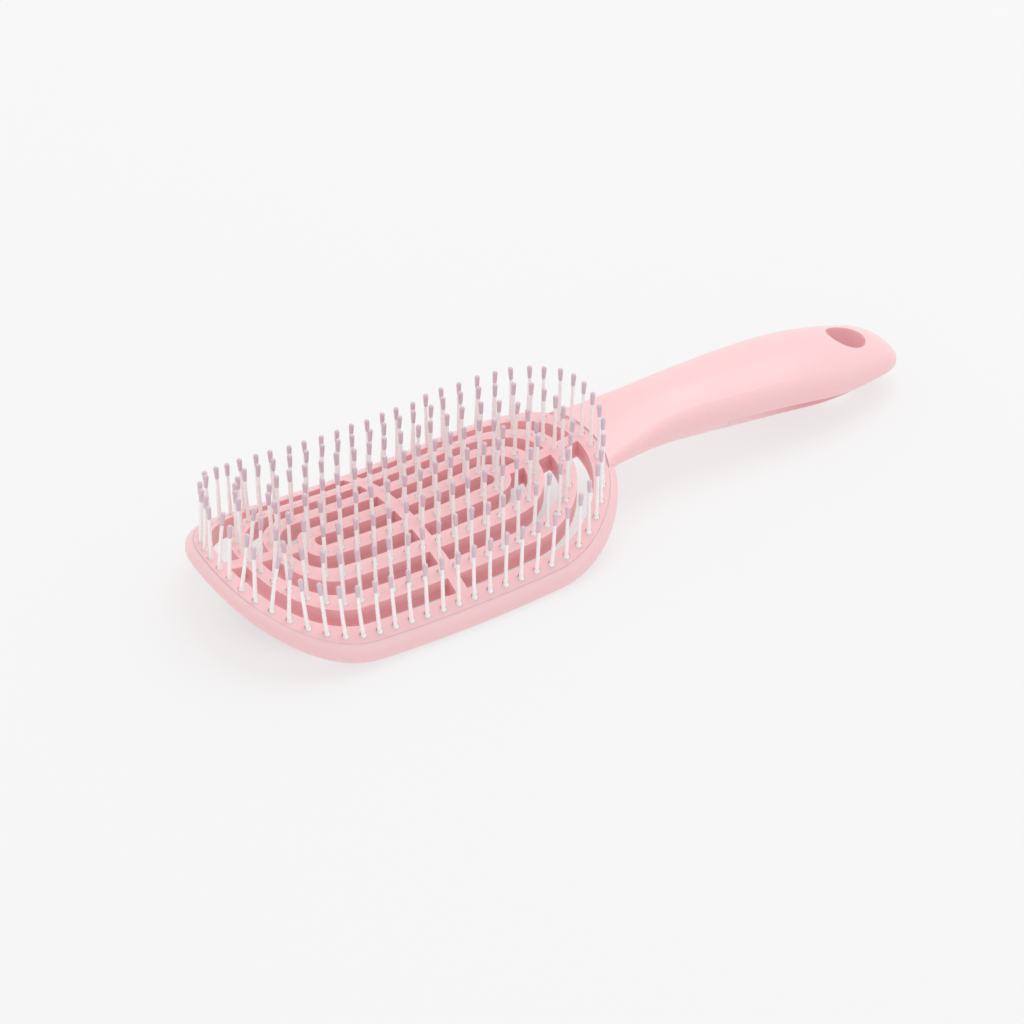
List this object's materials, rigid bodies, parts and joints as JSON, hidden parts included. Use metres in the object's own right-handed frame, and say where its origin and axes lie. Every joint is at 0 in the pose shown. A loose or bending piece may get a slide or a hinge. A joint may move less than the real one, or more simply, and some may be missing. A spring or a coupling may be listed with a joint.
{
  "type": "vented paddle hair brush",
  "caption": "Vented paddle hair brush: saddle-shaped slotted head set with thin ball-tipped pins, on a short hollow handle with a hanging hole.",
  "frame": {"origin": "on the surface the brush lies on, pins up, under the middle of its length and width", "axes": "+X from the head to the handle's end, +Y across the head, +Z the way the pins point"},
  "size_m": [0.2382, 0.0742, 0.0394],
  "materials": {
    "shell": "satin",
    "plate": "satin",
    "pin": "satin",
    "tip": "satin"
  },
  "bodies": {
    "root": {"handle_frame": "shell", "handle_back_cover": "shell", "pin_plate": "plate", "backing_plate": "plate", "outer_pins": "pin", "outer_tips": "tip", "rib_3_pins": "pin", "rib_3_tips": "tip", "rib_2_pins": "pin", "rib_2_tips": "tip", "rib_1_pins": "pin", "rib_1_tips": "tip"}
  },
  "joints": []
}
